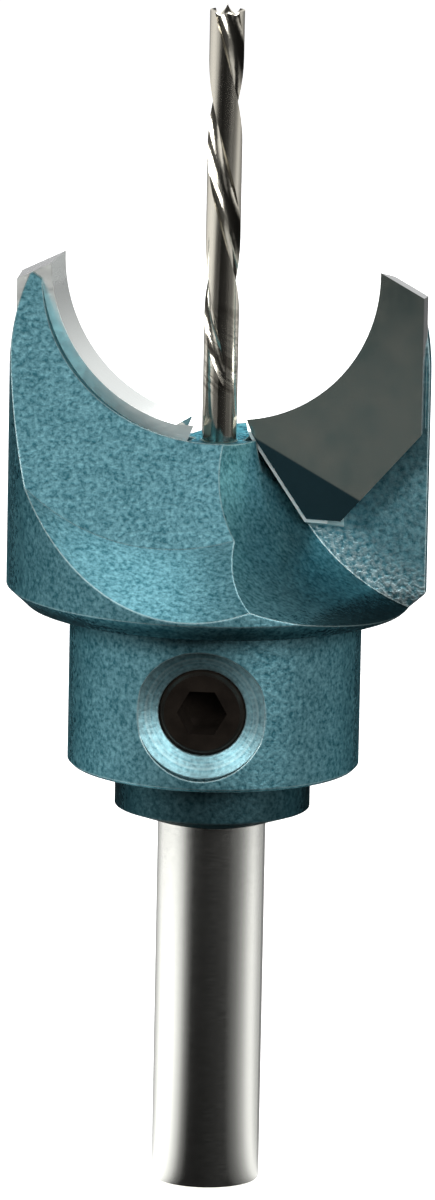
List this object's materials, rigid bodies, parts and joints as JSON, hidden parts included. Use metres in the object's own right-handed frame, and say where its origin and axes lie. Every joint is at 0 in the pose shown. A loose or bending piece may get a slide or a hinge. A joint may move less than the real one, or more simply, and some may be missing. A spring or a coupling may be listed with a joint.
{
  "type": "bead router bit",
  "caption": "Two-wing carbide-tipped cutter with a concave half-round profile, a centre drill and a round shank, for cutting wooden beads and balls.",
  "frame": {"origin": "centre of the shank's end face", "axes": "+Z along the cutter's axis from the shank's end towards the centre drill; the cutting edges lie in the XZ plane, the right wing at +X with its carbide facing -Y"},
  "size_m": [0.0386, 0.0388, 0.1112],
  "materials": {
    "body_paint": "blue-green hammertone paint on the head, boss and collar; the shank is bare ground steel",
    "carbide": "ground tungsten carbide, dark grey",
    "silver_solder": "bright silver solder",
    "drill_steel": "ground high-speed steel",
    "screw_steel": "blackened steel"
  },
  "bodies": {
    "root": {"cutter_body": "body_paint", "carbide_plate_right": "carbide", "carbide_plate_left": "carbide", "solder_seam_right": "silver_solder", "solder_seam_left": "silver_solder", "centre_drill": "drill_steel", "set_screw": "screw_steel"}
  },
  "joints": []
}
